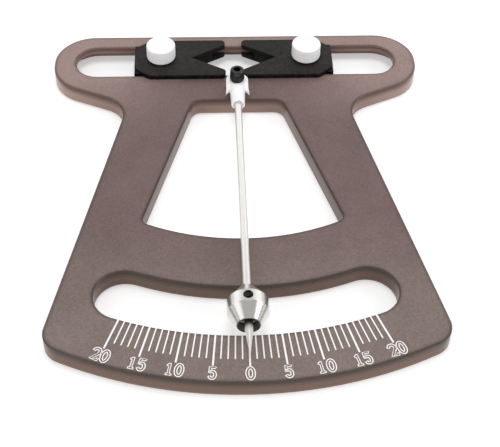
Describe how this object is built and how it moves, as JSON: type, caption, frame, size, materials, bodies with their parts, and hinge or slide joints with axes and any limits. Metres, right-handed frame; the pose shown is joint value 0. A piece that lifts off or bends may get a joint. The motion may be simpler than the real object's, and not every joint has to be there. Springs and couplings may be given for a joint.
{
  "type": "blade pitch gauge",
  "caption": "Flat gauge with two sliding V jaws that clamp a rotor blade and a weighted pointer that swings over a degree arc.",
  "frame": {"origin": "middle of the plate's outline on its back face", "axes": "+X right, +Y from the scale towards the clamp bar, +Z out of the front face"},
  "size_m": [0.1304, 0.1566, 0.0152],
  "materials": {
    "smoke_acrylic": "smoke-tinted translucent acrylic sheet, satin face",
    "black_jaw": "matte black",
    "white_nylon": "natural white nylon",
    "black_steel": "black oxide",
    "plated_steel": "bright plated",
    "polished_steel": "turned and polished"
  },
  "bodies": {
    "plate": {"gauge_plate": "smoke_acrylic", "pivot_washer": "white_nylon", "pivot_ball": "black_steel", "pivot_screw": "black_steel"},
    "left_clamp": {"left_jaw": "black_jaw", "left_back_clamp": "black_jaw", "left_washer": "black_steel", "left_nut": "plated_steel"},
    "right_clamp": {"right_jaw": "black_jaw", "right_back_clamp": "black_jaw", "right_washer": "black_steel", "right_nut": "plated_steel"},
    "left_screw": {"left_thumb_screw": "white_nylon"},
    "right_screw": {"right_thumb_screw": "white_nylon"},
    "pointer": {"pointer_link": "white_nylon", "pointer_rod": "polished_steel", "bob": "polished_steel", "bob_grub_screw": "black_steel"}
  },
  "joints": [
    {"name": "left_jaw_slide", "type": "slide", "parent": "plate", "child": "left_clamp", "axis": [1, 0, 0], "range_m": [-0.0132, 0.003]},
    {"name": "right_jaw_slide", "type": "slide", "parent": "plate", "child": "right_clamp", "axis": [1, 0, 0], "range_m": [-0.003, 0.0147]},
    {"name": "left_screw_turn", "type": "hinge", "parent": "left_clamp", "child": "left_screw", "pos_m": [-0.02685, 0.06375, 0.0109], "axis": [0, 0, 1], "range_deg": [0, 360]},
    {"name": "right_screw_turn", "type": "hinge", "parent": "right_clamp", "child": "right_screw", "pos_m": [0.02535, 0.06375, 0.0109], "axis": [0, 0, 1], "range_deg": [0, 360]},
    {"name": "pointer_swing", "type": "hinge", "parent": "plate", "child": "pointer", "pos_m": [0, 0.04855, 0.009], "axis": [0, 0, 1], "range_deg": [-22.5, 22.5]}
  ]
}
